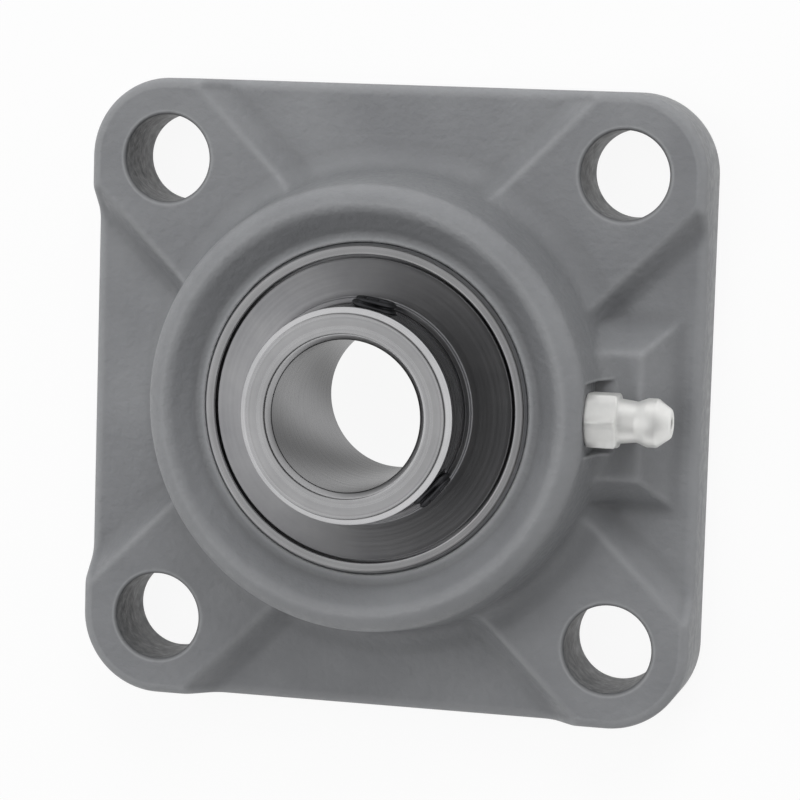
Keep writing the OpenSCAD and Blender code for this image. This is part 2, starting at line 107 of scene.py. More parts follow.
def make_piece(name, grids, body, slot, *nodes):
    """Joins grids of (points, closed) into one closed skin that stands for some CAD nodes. It rides on a body;
    when two bodies and two points are given instead, they are not used and the piece stays where it is drawn."""
    points, quads, count = [], [], 0
    for grid, closed in grids:
        rows, columns = grid.shape[:2]
        points.append(grid.reshape(-1, 3))
        quads.append(grid_quads(rows, columns, count, closed))
        count += rows * columns
    mesh = bpy.data.meshes.new(name)
    mesh.from_pydata((np.concatenate(points) * MM).tolist(), [], np.concatenate(quads).tolist())
    skin = bmesh.new()
    skin.from_mesh(mesh)
    bmesh.ops.remove_doubles(skin, verts=skin.verts, dist=MERGE_DISTANCE)
    bmesh.ops.recalc_face_normals(skin, faces=skin.faces)
    open_edges = sum(not edge.is_manifold for edge in skin.edges)
    triangles = sum(len(face.verts) - 2 for face in skin.faces)
    skin.to_mesh(mesh)
    skin.free()
    mesh.shade_smooth()
    mark_edges(mesh)
    piece = bpy.data.objects.new(name, mesh)
    bpy.context.scene.collection.objects.link(piece)
    if isinstance(body, str):
        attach(piece, body)
    else:
        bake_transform(piece)
    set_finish(piece, slot)
    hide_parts(*nodes)
    print(name, triangles, "triangles,", open_edges, "open edges")
    return piece


print("points closer than", MERGE_DISTANCE, "m become one")

# %% [markdown]
# ## The height of the casting
# Seen from the front, the housing is a landscape: pocket floors at 8.75 mm, two bars from corner to corner at
# 12 mm, a platform beside the boss and the boss itself. A height for every place (x, y) describes it all.
# Lofting each form and cutting it would need many joins; with one height function, every fillet simply
# follows the floor that it stands on, as it does in a casting.

# %% Heights of lugs, platform and boss
POCKET, LUG = 8.75, 12.0
HOLE_AT, HOLE_R = 32.0, 6.0
FLANGE_HALF, EDGE = 43.0, 1.2
SHOULDER_R, SHOULDER_Z, SHOULDER = 27.0, 22.5, 3.0
DRAFT = np.radians(8.0)
SIDE_R, SIDE_Z = SHOULDER_R + SHOULDER * np.cos(DRAFT), SHOULDER_Z + SHOULDER * np.sin(DRAFT)
BOSS_FILLET = 4.0
LUG_HALF, FLANK_RUN, FLANK_ROUND, FLANK_FILLET = 10.0, 2.5, 1.0, 2.0
FLANK_ACROSS, FLANK_UP = np.array([LUG - POCKET, FLANK_RUN]) / np.hypot(LUG - POCKET, FLANK_RUN)
PLATFORM_TOP, PLATFORM_HALF, PLATFORM_END = 14.06, 8.5, 35.6
FAR_AWAY = 99.0


def flanked(away, half, top):
    """Height at a distance from the middle of a bar: a flat top, an arc over its edge, a straight sloping
    flank, and an arc that runs out on the pocket floor."""
    top_mid = half - FLANK_ROUND * (1 - FLANK_UP) / FLANK_ACROSS
    foot_mid = half + (FLANK_FILLET + (top - POCKET - FLANK_FILLET) * FLANK_UP) / FLANK_ACROSS
    bend, foot = top_mid + FLANK_ROUND * FLANK_ACROSS, foot_mid - FLANK_FILLET * FLANK_ACROSS
    over = top - FLANK_ROUND + np.sqrt(np.maximum(FLANK_ROUND**2 - (away - top_mid) ** 2, 0))
    slope = top - FLANK_ROUND * (1 - FLANK_UP) - (away - bend) * FLANK_ACROSS / FLANK_UP
    under = POCKET + FLANK_FILLET - np.sqrt(np.maximum(FLANK_FILLET**2 - (away - foot_mid) ** 2, 0))
    stretches = [away <= top_mid, away <= bend, away <= foot, away <= foot_mid]
    return np.select(stretches, [top, over, slope, under], POCKET)


def flange_height(x, y):
    """The higher of the two diagonal bars and the platform, which is the lower of a long and a cross
    profile."""
    bars = flanked(np.abs(np.abs(x) - np.abs(y)) / np.sqrt(2), LUG_HALF, LUG)
    along = flanked(np.where(x > 0, x, FAR_AWAY), PLATFORM_END, PLATFORM_TOP)
    across = flanked(np.abs(y), PLATFORM_HALF, PLATFORM_TOP)
    return np.maximum(bars, np.minimum(along, across))


def casting_height(x, y):
    """Height outside the boss's shoulder: the drafted cone, then an arc that touches both the cone and
    whatever floor lies there, then that floor."""
    r, floor = np.hypot(x, y), flange_height(x, y)
    mid = SIDE_R + (BOSS_FILLET - (floor + BOSS_FILLET - SIDE_Z) * np.sin(DRAFT)) / np.cos(DRAFT)
    cone = SIDE_Z - (r - SIDE_R) / np.tan(DRAFT)
    arc = floor + BOSS_FILLET - np.sqrt(np.maximum(BOSS_FILLET**2 - (r - mid) ** 2, 0))
    return np.select([r <= mid - BOSS_FILLET * np.cos(DRAFT), r <= mid], [cone, arc], floor)


print("height on a lug", casting_height(HOLE_AT, HOLE_AT), "in a pocket", casting_height(0.0, FLANGE_HALF))

# %% [markdown]
# ## The net of points over the housing
# A plain square net would cut across the flanks of the lugs and show them as steps. Here the net is bent to
# the object: rings around the boss, columns that run along the flanks and the sides of the fitting's seat,
# and a net of its own around each bolt hole. One quarter is laid out and turned four times.

# %% Columns and outline of the net
BAR_IN, BAR_OUT = LUG_HALF - 0.8, LUG_HALF + 3.9
NET_R = 35.6
LUG_STEPS, FLANK_STEPS, POCKET_STEPS, OUT_STEPS = 24, 16, 64, 26
SPOT_HALF, SPOT_WALL, SPOT_STEPS = 4.74, 0.12, 10
CORNER_R = FLANGE_HALF - HOLE_AT - EDGE
OUTLINE_HALF = HOLE_AT + CORNER_R
ARC_POINTS = 200


def turned(points, quarter):
    """Points in the plane, turned by a number of quarter turns."""
    c, s = [(1, 0), (0, 1), (-1, 0), (0, -1)][quarter % 4]
    return np.stack([c * points[..., 0] - s * points[..., 1], s * points[..., 0] + c * points[..., 1]], -1)


def column_turns(radius):
    """Angle of each column on rings of those radii. Along a flank, the distance from the diagonal stays the
    same: the angle is 45 degrees less the arc sine of distance over radius. In the pockets, two columns on
    each side keep their distance from the middle instead, and follow the fitting's seat."""
    radius = np.maximum(np.atleast_1d(radius), SIDE_R)[:, None]
    spread = np.linspace(BAR_OUT, BAR_IN, FLANK_STEPS + 1)[None, :]
    flank = np.pi / 4 - np.arcsin(spread / radius)
    seat_side, wall_foot = np.arcsin(SPOT_HALF / radius), np.arcsin((SPOT_HALF + SPOT_WALL) / radius)
    seat_half = np.linspace(np.zeros(len(radius)), seat_side[:, 0], SPOT_STEPS, endpoint=False, axis=-1)
    beside = np.linspace(wall_foot[:, 0], flank[:, 0], POCKET_STEPS // 2 - SPOT_STEPS, axis=-1)
    half = np.concatenate([seat_half, seat_side, beside], -1)
    pocket = np.concatenate([-half[:, :0:-1], half[:, :-1]], -1)
    diagonal = np.full(len(radius), np.pi / 4)
    lug = np.linspace(flank[:, -1], diagonal, LUG_STEPS, endpoint=False, axis=-1)
    low_lug = lug - flank[:, -1:] - np.pi / 4
    quarter = np.concatenate([low_lug, -flank[:, :0:-1], pocket, flank[:, :-1], lug], -1)
    return np.concatenate([quarter + q * np.pi / 2 for q in range(4)], -1)


def corner_outline(steps):
    """Evenly spaced points around one corner, from flank to flank: side, quarter circle, side."""
    turn = np.linspace(0, np.pi / 2, ARC_POINTS)
    arc = HOLE_AT + CORNER_R * np.stack([np.cos(turn), np.sin(turn)], -1)
    end = np.array([OUTLINE_HALF, OUTLINE_HALF - BAR_IN * np.sqrt(2)])
    path = np.concatenate([end[None], arc, end[None, ::-1]])
    length = np.concatenate([[0], np.cumsum(np.linalg.norm(np.diff(path, axis=0), axis=1))])
    at = np.linspace(0, length[-1], steps + 1)
    return np.stack([np.interp(at, length, path[:, 0]), np.interp(at, length, path[:, 1])], -1)


def outline_net():
    """The outline, inside its rounded edge, with one point per column."""
    corner = corner_outline(2 * LUG_STEPS)
    flank = OUTLINE_HALF - np.linspace(BAR_OUT, BAR_IN, FLANK_STEPS + 1) * np.sqrt(2)
    pocket = np.linspace(-flank[0], flank[0], POCKET_STEPS, endpoint=False)
    y = np.concatenate([-flank[:0:-1], pocket, flank[:-1]])
    edge = np.stack([np.full(len(y), OUTLINE_HALF), y], -1)
    quarter = np.concatenate([turned(corner[LUG_STEPS:-1], 3), edge, corner[:LUG_STEPS]])
    return np.concatenate([turned(quarter, q) for q in range(4)])


ring_turns = column_turns(NET_R)[0]
ring = NET_R * np.stack([np.cos(ring_turns), np.sin(ring_turns)], -1)
outline = outline_net()
outward = outline - np.clip(outline, -HOLE_AT, HOLE_AT)
outward /= np.linalg.norm(outward, axis=1, keepdims=True)
COLUMNS = len(outline)
QUARTER = COLUMNS // 4
print("columns around the housing:", COLUMNS, len(ring))

# %% [markdown]
# ## Flange and bolt holes
# Between the rings of the boss and the outline, straight columns do for the pockets. A bolt hole needs a net
# of circles instead, or its rim would be ragged. So each lug is filled from its hole outwards: a ray goes
# from the hole's centre to every point of the lug's border, and the rows divide those rays.

# %% Plan of the flange
RIM, REAR_RIM, REAR_EDGE = 0.5, 0.3, 0.4
FRONT_ROWS, REAR_ROWS = 26, 9


def around_hole(loop, centre, radius, rows):
    """Net between a circle and a closed loop: on each ray from the centre to a point of the loop, the rows
    divide what lies between circle and loop."""
    ray = loop - centre
    reach = np.linalg.norm(ray, axis=-1, keepdims=True)
    share = np.linspace(0, 1, rows)[:, None, None]
    return centre + ray / reach * (radius + (reach - radius) * share)


def flange_plan(grow, hole_radius, rows):
    """Nets of the four sides, straight from ring to outline, and of the four lugs, around their holes; the
    outline is first moved outwards by grow."""
    share = np.linspace(0, 1, OUT_STEPS + 1)[:, None, None]
    net = ring + (outline + outward * grow - ring) * share
    sides, lugs = [], []
    for q in range(4):
        first = q * QUARTER + LUG_STEPS
        last = first + QUARTER - 2 * LUG_STEPS
        corner = np.arange(last, last + 2 * LUG_STEPS + 1) % COLUMNS
        sides.append(net[:, np.arange(first, last + 1)])
        loop = [net[0, corner[:-1]], net[:-1, corner[-1]], net[-1, corner[:0:-1]], net[:0:-1, corner[0]]]
        centre = turned(np.array([HOLE_AT, HOLE_AT]), q)
        lugs.append(around_hole(np.concatenate(loop), centre, hole_radius, rows))
    return sides, lugs


def lifted(plan, height):
    """Adds a height to points in the plane."""
    return np.concatenate([plan, np.broadcast_to(height, plan.shape[:-1])[..., None]], -1)


front_sides, front_lugs = flange_plan(0, HOLE_R + RIM, FRONT_ROWS)
rear_sides, rear_lugs = flange_plan(EDGE - REAR_EDGE, HOLE_R + REAR_RIM, REAR_ROWS)
flange = [(lifted(p, casting_height(p[..., 0], p[..., 1])), False) for p in front_sides]
flange += [(lifted(p, casting_height(p[..., 0], p[..., 1])), True) for p in front_lugs]
flange += [(lifted(p, 0), False) for p in rear_sides] + [(lifted(p, 0), True) for p in rear_lugs]
print("nets of the faces:", len(flange))

# %% [markdown]
# ## Walls of the flange
# Front and rear face are joined by the walls of the four holes and by one wall around the outline. On a
# casting no edge is sharp, so each wall starts with a quarter circle that leaves the front face and dives. A
# Bevel modifier would round the edges too, but here the rounding follows the flanks up and down.

# %% Walls of holes and outline
curve = np.linspace(0, np.pi / 2, 5)
for q in range(4):
    centre = turned(np.array([HOLE_AT, HOLE_AT]), q)
    ray = (front_lugs[q][0] - centre) / (HOLE_R + RIM)
    top = casting_height(front_lugs[q][0][:, 0], front_lugs[q][0][:, 1])
    radius = np.concatenate([HOLE_R + RIM * (1 - np.sin(curve)), [HOLE_R, HOLE_R]])
    drop = np.concatenate([RIM * (1 - np.cos(curve)), [LUG / 2, LUG - REAR_RIM]])
    wall = lifted(centre + ray * radius[:, None, None], top - drop[:, None])
    wall_foot = lifted(rear_lugs[q][0], 0)
    flange.append((np.concatenate([wall, wall_foot[None]]), True))

top = casting_height(outline[:, 0], outline[:, 1])
side = outline + outward * EDGE
wall = [lifted(outline + outward * EDGE * np.sin(turn), top - EDGE * (1 - np.cos(turn))) for turn in curve]
wall += [lifted(side, top / 2), lifted(side, REAR_EDGE), lifted(outline + outward * (EDGE - REAR_EDGE), 0)]
flange.append((np.stack(wall), True))
print("nets of the flange:", len(flange))

# %% [markdown]
# ## Boss, funnel and spherical seat
# The boss is turned about the shaft axis: a ledge lies round the seat's mouth, a funnel rises to the crest, a
# shoulder rolls over, and the drafted side falls to the flange. The last rings leave the turned shape and
# take their height from the casting, so the fillet rises over the lugs. Behind the mouth lies the hollow
# sphere that the insert swivels in, with the two slots that it was put in through.

# %% Boss and seat
SEAT_R, SEAT_Z, SEAT_HALF, SEAT_ROWS = 23.55, 15.0, 7.7, 16
RECESS_R, RECESS_EDGE, SLOT_HALF, SLOT_R = 25.05, 0.3, 8.8, 23.85
SPOT_X, SPOT_Z = 29.65, 14.8
CREST_LEAN = 0.2014
CREST_STEPS, SHOULDER_STEPS, FUNNEL_STEPS = 8, 11, 6
FOOT_R, SIDE_ROWS, FOOT_ROWS = 31.2, 12, 18


def rings(radius, height):
    """Rings about the shaft axis, one per pair of radius and height, with a point per column of the net."""
    turn = column_turns(radius)
    x, y = radius[:, None] * np.cos(turn), radius[:, None] * np.sin(turn)
    return np.stack([x, y, np.broadcast_to(height[:, None], x.shape)], -1)


def parabola(start, corner, end, steps):
    """Points of the curve that leaves a start towards a corner and comes from that corner to the end: the
    three are mixed by the squares and the double product of a share and its rest."""
    share = np.linspace(0, 1, steps)[:, None]
    return (1 - share) ** 2 * start + 2 * share * (1 - share) * corner + share**2 * end


def arc(mid, radius, start, end, steps):
    """Points of a circle in the profile's plane, between two angles in degrees."""
    turn = np.radians(np.linspace(start, end, steps))
    return np.asarray(mid) + radius * np.stack([np.cos(turn), np.sin(turn)], -1)


mouth_r = np.sqrt(SEAT_R**2 - SEAT_HALF**2)
mouth_z = SEAT_Z + SEAT_HALF
seat_z = SEAT_Z + np.linspace(-SEAT_HALF, SEAT_HALF, SEAT_ROWS)
seat = rings(np.sqrt(SEAT_R**2 - (seat_z - SEAT_Z) ** 2), seat_z)
in_slot = (np.abs(seat[..., 0]) < SLOT_HALF) & (seat_z[:, None] < SEAT_Z)
widen = np.where(in_slot, SLOT_R / np.hypot(seat[..., 0], seat[..., 1]), 1)
seat[..., :2] *= widen[..., None]

crest = parabola(*np.array([[26.1, 24.86], [26.8, 25.5], [27.6, 25.44]]), CREST_STEPS)
shoulder_start, shoulder_end = 90 - np.degrees(CREST_LEAN), np.degrees(DRAFT)
shoulder = arc([SHOULDER_R, SHOULDER_Z], SHOULDER, shoulder_start, shoulder_end, SHOULDER_STEPS)[1:]
ledge = np.array([[0, 0], [0.3, 0], [0.8, 0], [1.2, 0], [1.5, 0.06], [1.8, 0.28]]) + [mouth_r, mouth_z]
funnel = np.linspace(ledge[-1], crest[0], FUNNEL_STEPS)[1:-1]
profile = np.concatenate([ledge, funnel, crest, shoulder])
front = rings(profile[:, 0], profile[:, 1])

side_rows, foot_rows = np.linspace(SIDE_R, FOOT_R, SIDE_ROWS), np.linspace(FOOT_R, NET_R, FOOT_ROWS)
foot_r = np.concatenate([side_rows[1:], foot_rows[1:]])
foot = rings(foot_r, foot_r)
foot[..., 2] = casting_height(foot[..., 0], foot[..., 1])
boss = np.concatenate([seat, front[1:], foot])
beside = np.abs(boss[..., 1]) - SPOT_HALF
spot = (boss[..., 0] > SPOT_X) & (beside < SPOT_WALL / 2) & (boss[..., 2] > SPOT_Z)
boss[..., 0] = np.where(spot, SPOT_X, boss[..., 0])

seat_foot = SEAT_Z - SEAT_HALF
rear_r = np.array([mouth_r, RECESS_R - RECESS_EDGE, RECESS_R, RECESS_R, RECESS_R + RECESS_EDGE])
rear_z = np.array([seat_foot, seat_foot, seat_foot - RECESS_EDGE, RECESS_EDGE, 0.0])
rear = rings(rear_r, rear_z)
rear[0] = seat[0]
rear = np.concatenate([rear, lifted(ring, 0)[None]])
housing = make_piece(
    "housing_casting", flange + [(boss, True), (rear, True)], "housing_unit", "housing_paint", "housing"
)

# %% [markdown]
# ## Slingers
# A slinger is a disc of thin sheet that turns with the inner ring and throws dirt off the seal; there is one
# in front and one behind. Rings and discs are profiles carried round the shaft axis. Metal always has broken
# edges, which catch a thin line of light, so each corner of a profile is cut back a little and bridged by a
# curve. A Bevel modifier would do as well, but here the size of each edge is known.

# %% Profiles with softened corners
SIDE_SHARE = 0.45
RING_COLUMNS = 192


def softened(corners, cut, steps=4):
    """Closed profile whose corners are replaced by parabolas, which leave one side and meet the next at a
    given distance from the corner; one more point on each side keeps what happens at the edge close to it."""
    corners = np.asarray(corners, float)
    before, after = np.roll(corners, 1, 0) - corners, np.roll(corners, -1, 0) - corners
    cut = np.broadcast_to(np.asarray(cut, float), len(corners))[:, None]
    side_in, side_out = (np.linalg.norm(side, axis=1, keepdims=True) for side in (before, after))
    start, end = corners + before / side_in * cut, corners + after / side_out * cut
    first = corners + before * np.minimum(2 * cut / side_in, SIDE_SHARE)
    last = corners + after * np.minimum(2 * cut / side_out, SIDE_SHARE)
    path = np.stack([parabola(*three, steps + 1) for three in zip(start, corners, end)])
    return np.concatenate([first[:, None], path, last[:, None]], 1).reshape(-1, 2)


def revolved_piece(name, profile, *belongs):
    """A closed profile of radius and height, carried round the shaft axis, as one piece."""
    turn = np.linspace(0, 2 * np.pi, RING_COLUMNS, endpoint=False)
    x, y = profile[:, :1] * np.cos(turn), profile[:, :1] * np.sin(turn)
    grid = np.stack([x, y, np.broadcast_to(profile[:, 1:], x.shape)], -1)
    return make_piece(name, [(grid[np.r_[0:len(profile), 0]], True)], *belongs)


COLLAR_IN, COLLAR_OUT, COLLAR_TOP = 14.32, 15.02, 25.35
DISC_R, DISC_Z, DISC_RIM_Z, SHEET = 20.25, 23.85, 22.75, 0.7
slinger = [[COLLAR_IN, DISC_Z], [COLLAR_OUT, DISC_Z], [DISC_R, DISC_RIM_Z], [DISC_R, DISC_RIM_Z + SHEET]]
slinger += [[COLLAR_OUT, DISC_Z + SHEET], [COLLAR_OUT, COLLAR_TOP], [COLLAR_IN, COLLAR_TOP]]
slinger = softened(slinger, [0.1, 0.3, 0.2, 0.2, 0.35, 0.18, 0.18])
front_slinger = revolved_piece("front_slinger_disc", slinger, "inner_race", "sheet_steel", "front_slinger")
mirrored = slinger * [1, -1] + [0, 2 * SEAT_Z]
rear_slinger = revolved_piece("rear_slinger_disc", mirrored, "inner_race", "sheet_steel", "rear_slinger")

# %% [markdown]
# ## Outer ring
# Its outside is a sphere, so that it can swivel in the seat, with a groove around it for grease. Only the
# front face and a narrow band of the sphere can be seen, as a bright thin ring inside the funnel. The ball
# race and the seal grooves are drawn as well, so that the balls and seals beside them stay clear.

# %% Outer ring
SPHERE_R, RING_FACE = 23.5, 8.5
GREASE_Z, GREASE_HALF, GREASE_DEPTH = 4.5, 0.8, 0.6
KEEP_R, GROOVE_R, OUTER_BORE, GROOVE_TOP, GROOVE_FLOOR = 20.6, 21.0, 19.2, 7.3, 6.5
RACE_R, RACE_STEPS, OUTER_RACE_MID, OUTER_RACE_TURN = 4.089, 13, 16.66, 51.0
SMALL_CUT, FACE_CUT, LIP_CUT = 0.04, 0.22, 0.15

groove_low, groove_high = GREASE_Z - GREASE_HALF, GREASE_Z + GREASE_HALF
below, above = [-RING_FACE, -6, -4, -2, 0, 2, groove_low], [groove_high, 6, 7, 8, RING_FACE]
sphere = [[np.sqrt(SPHERE_R**2 - z**2), z] for z in below + above]
grease_r = np.sqrt(SPHERE_R**2 - GREASE_Z**2) - GREASE_DEPTH
outside = sphere[:len(below)] + [[grease_r, groove_low], [grease_r, groove_high]] + sphere[len(below):]
lip = [[KEEP_R, RING_FACE], [KEEP_R, GROOVE_TOP], [GROOVE_R, GROOVE_TOP], [GROOVE_R, GROOVE_FLOOR]]
front_step = np.array(lip + [[OUTER_BORE, GROOVE_FLOOR]])
race = arc([OUTER_RACE_MID, 0], RACE_R, OUTER_RACE_TURN, -OUTER_RACE_TURN, RACE_STEPS)
corners = np.concatenate([outside, front_step, race, front_step[::-1] * [1, -1]])
edge_cut = np.full(len(corners), SMALL_CUT)
edge_cut[[0, len(outside) - 1]] = FACE_CUT
edge_cut[[len(outside), len(corners) - 1]] = LIP_CUT
outer_profile = softened(corners, edge_cut, 3) + [0, SEAT_Z]
outer_ring = revolved_piece("outer_ring_ground", outer_profile, "outer_race", "bearing_steel", "outer_ring")

# %% [markdown]
# ## Holes through the inner ring
# The inner ring is longer in front, where two set screws lock it on the shaft. Where their holes break
# through, the skin isn't simply turned. Cutting them with a boolean would leave long thin triangles that
# shade badly, so a window is left open there and filled with the same net as around a bolt hole, bent round
# the cylinder, outside and in the bore.

# %% Windows for the screw holes
RING_R, BORE_R = 14.3, 10.0
SCREW_Z, SCREW_HOLE, HOLE_EDGE = 28.7, 3.04, 0.15
SCREW_TURNS = np.radians([-40.0, 80.0])
WINDOW = np.radians(24.0)
LOW, HIGH = 25.2, 32.3
WINDOW_STEPS, RISE_STEPS, WINDOW_ROWS = 24, 16, 7

open_low, open_high = SCREW_TURNS - WINDOW, SCREW_TURNS + WINDOW
closed_arcs = [(open_high[0], open_low[1], 36), (open_high[1], open_low[0] + 2 * np.pi, 96)]


def around_shaft(radius, turn, height):
    """Points at a radius, an angle and a height about the shaft axis."""
    radius, turn, height = np.broadcast_arrays(radius, turn, height)
    return np.stack([radius * np.cos(turn), radius * np.sin(turn), height], -1)


def window_turns(middle):
    """Angles across a window, evenly spaced in the plane that the hole is drilled in."""
    flat = np.linspace(-1, 1, WINDOW_STEPS + 1) * np.sin(WINDOW)
    return middle + np.arcsin(flat)


def drilled_window(radius, middle):
    """Net around a hole in a cylinder: drawn flat, then each point is set at the angle whose sine is its
    distance from the hole's axis over the cylinder's radius."""
    half = radius * np.sin(WINDOW)
    across, up = np.linspace(-half, half, WINDOW_STEPS + 1), np.linspace(LOW, HIGH, RISE_STEPS + 1)
    foot, head = (np.stack([across, np.full_like(across, z)], -1) for z in (LOW, HIGH))
    left, right = (np.stack([np.full_like(up, x), up], -1) for x in (-half, half))
    loop = np.concatenate([foot[:-1], right[:-1], head[:0:-1], left[:0:-1]])
    net = around_hole(loop, np.array([0, SCREW_Z]), SCREW_HOLE + HOLE_EDGE, WINDOW_ROWS)
    return around_shaft(radius, middle + np.arcsin(net[..., 0] / radius), net[..., 1])


def hole_wall(rim, axis, depth):
    """A hole's rim, drawn in to the hole's own radius and moved along its axis."""
    middle, along = np.array([0, 0, SCREW_Z]), (rim @ axis)[:, None]
    aside = (rim - middle - along * axis) * SCREW_HOLE / (SCREW_HOLE + HOLE_EDGE)
    return aside + middle + (along + depth) * axis


windows = []
for middle in SCREW_TURNS:
    outer_window, bore_window = drilled_window(RING_R, middle), drilled_window(BORE_R, middle)
    axis = np.array([np.cos(middle), np.sin(middle), 0])
    rim_out, rim_in = outer_window[0], bore_window[0]
    wall = [rim_out, hole_wall(rim_out, axis, -HOLE_EDGE), hole_wall(rim_in, axis, HOLE_EDGE), rim_in]
    windows += [(outer_window, True), (bore_window, True), (np.stack(wall), True)]
print("nets of the screw holes:", len(windows))

# %% [markdown]
# ## Inner ring
# What is left of the ring is turned: a front end and a rear end with their chamfers, the race that the balls
# run in, and two stretches of cylinder between the windows. They could be one profile, but split in this way
# they meet the windows point by point, so the skin closes without a seam.

# %% Inner ring
RING_FRONT, RING_REAR, RING_CHAMFER = 33.3, 2.3, 0.8
END_CUT = [0.01, 0.16, 0.16, 0.16, 0.16, 0.01]
CORNER_POINTS = 7
BORE_MIDDLE = 14.0
INNER_RACE_MID, INNER_RACE_TURN = 16.84, 51.5


def ring_end(first_r, second_r, z, inward):
    """One end of the ring between two walls, with its chamfers softened. The path goes up the first wall,
    over the end and down the second; its outer corners only give the direction, and are left out again."""
    step = np.sign(second_r - first_r) * RING_CHAMFER
    low = z + inward * RING_CHAMFER
    corners = [[first_r, LOW], [first_r, low], [first_r + step, z]]
    corners += [[second_r - step, z], [second_r, low], [second_r, LOW]]
    return softened(corners, END_CUT)[CORNER_POINTS + 1:-CORNER_POINTS - 1]


ring_columns = np.concatenate([
    window_turns(SCREW_TURNS[0])[:-1], np.linspace(*closed_arcs[0][:2], closed_arcs[0][2] + 1)[:-1],
    window_turns(SCREW_TURNS[1])[:-1], np.linspace(*closed_arcs[1][:2], closed_arcs[1][2] + 1)[:-1],
])
front_end = np.concatenate([[[RING_R, HIGH]], ring_end(RING_R, BORE_R, RING_FRONT, -1), [[BORE_R, HIGH]]])
ball_race = arc([INNER_RACE_MID, SEAT_Z], RACE_R, 180 + INNER_RACE_TURN, 180 - INNER_RACE_TURN, RACE_STEPS)
rear_end = ring_end(BORE_R, RING_R, RING_REAR, 1)
rear_end = np.concatenate([[[BORE_R, LOW], [BORE_R, BORE_MIDDLE]], rear_end, ball_race, [[RING_R, LOW]]])
inner = [(around_shaft(p[:, :1], ring_columns, p[:, 1:]), True) for p in (front_end, rear_end)]
rise = np.linspace(LOW, HIGH, RISE_STEPS + 1)[:, None]
for r in (RING_R, BORE_R):
    inner += [(around_shaft(r, np.linspace(a, b, n + 1), rise), False) for a, b, n in closed_arcs]
inner_ring = make_piece("inner_ring_ground", inner + windows, "inner_race", "bearing_steel", "inner_ring")

# %% [markdown]
# ## Grease fitting
# It could be a cylinder joined with a prism, but a hexagon only changes the radius with the angle, so the
# whole piece is still one grid.

# %% Fitting
FITTING = np.array([SPOT_X, 0, 19.5])
FITTING_COLUMNS, HEX_HALF = 120, 3.5


def about_axis(origin, axis, along, radius, turn):
    """Points at a distance along an axis and a radius and angle about it; the angle starts at the shaft's
    direction."""
    axis = np.asarray(axis, float)
    up = np.array([0.0, 0.0, 1.0])
    side = np.cross(up, axis)
    along, radius, turn = (a[..., None] for a in np.broadcast_arrays(along, radius, turn))
    return np.asarray(origin) + along * axis + radius * (np.cos(turn) * up + np.sin(turn) * side)


def hexagon(turn, half):
    """Radius of a hexagon at an angle: half its width over the cosine of the angle from the nearest flat's
    middle."""
    return half / np.cos((turn % (np.pi / 3)) - np.pi / 6)


body = [[-4.8, 2.6], [-4.4, 3.0], [-0.02, 3.0], [0.0, 3.3]]
hex_rows = [[0.02, 3.62], [0.3, 4.2], [3.85, 4.2], [4.15, 3.62], [4.2, 3.4]]
neck = [[4.22, 3.05], [4.6, 2.95], [5.6, 2.83], [6.45, 2.71], [6.7, 2.72], [7.3, 2.96], [7.85, 3.18]]
head = [[8.1, 3.25], [9.2, 3.25], [9.4, 3.18], [10.2, 2.58], [10.95, 2.05], [11.12, 1.86], [11.2, 1.65]]
mouth = [[11.2, 1.02], [11.1, 0.9], [10.8, 0.9]]
chamber = [[10.0, 1.7], [5.0, 1.7], [1.05, 1.7], [1.05, 1.08], [-4.8, 1.08], [-4.8, 2.6]]
stations = np.array(body + hex_rows + neck + head + mouth + chamber)
turn = np.linspace(0, 2 * np.pi, FITTING_COLUMNS, endpoint=False)
radius = np.broadcast_to(stations[:, 1:], (len(stations), len(turn))).copy()
flats = slice(len(body), len(body) + len(hex_rows))
radius[flats] = np.minimum(radius[flats], hexagon(turn, HEX_HALF))
fitting = make_piece(
    "grease_fitting_turned", [(about_axis(FITTING, [1, 0, 0], stations[:, :1], radius, turn), True)],
    "housing_unit", "zinc_plate", "grease_fitting_body",
)

# %% [markdown]
# ## Check spring
# Behind the check ball sits a small wire spring. One end rests in the fitting and the other against the ball.
# It is drawn as a tube along a helix and stays where it is drawn, so it doesn't follow the ball.

# %% Spring
SPRING_FOOT, SPRING_HEAD, SPRING_TURNS = 1.27, 8.424, 7
SPRING_R, WIRE_R = 1.3, 0.2
RINGS_PER_TURN, WIRE_SIDES = 24, 12


def coil(foot, head, turns, mid_radius, wire):
    """A tube along a helix: rings of points lie around a point that turns about the axis and rises evenly. At
    both ends the ring shrinks to its middle."""
    share = np.concatenate([[0], np.linspace(0, 1, RINGS_PER_TURN * turns + 1), [1]])[:, None]
    thick = np.full_like(share, wire)
    thick[[0, -1]] = 0
    around = np.linspace(0, 2 * np.pi, WIRE_SIDES, endpoint=False)
    along = foot + (head - foot) * share + thick * np.sin(around)
    radius = mid_radius + thick * np.cos(around)
    return about_axis(FITTING, [1, 0, 0], along, radius, 2 * np.pi * turns * share)


ends = [tuple((FITTING + [along, 0, 0]) * MM) for along in (SPRING_FOOT, SPRING_HEAD)]
spring = make_piece(
    "check_spring_coil", [(coil(SPRING_FOOT, SPRING_HEAD, SPRING_TURNS, SPRING_R, WIRE_R), True)],
    ("housing_unit", "check_ball", *ends), "sheet_steel", "grease_fitting_spring",
)

# %% [markdown]
# ## Set screws
# A set screw is a threaded stud with a cup at one end and a hexagon sunk into the other. The radius swings
# along and around the screw, which makes the thread, and the same hexagon as on the fitting shapes the
# socket. A boolean cut would do for the socket, but it would leave ragged triangles on such a small piece.

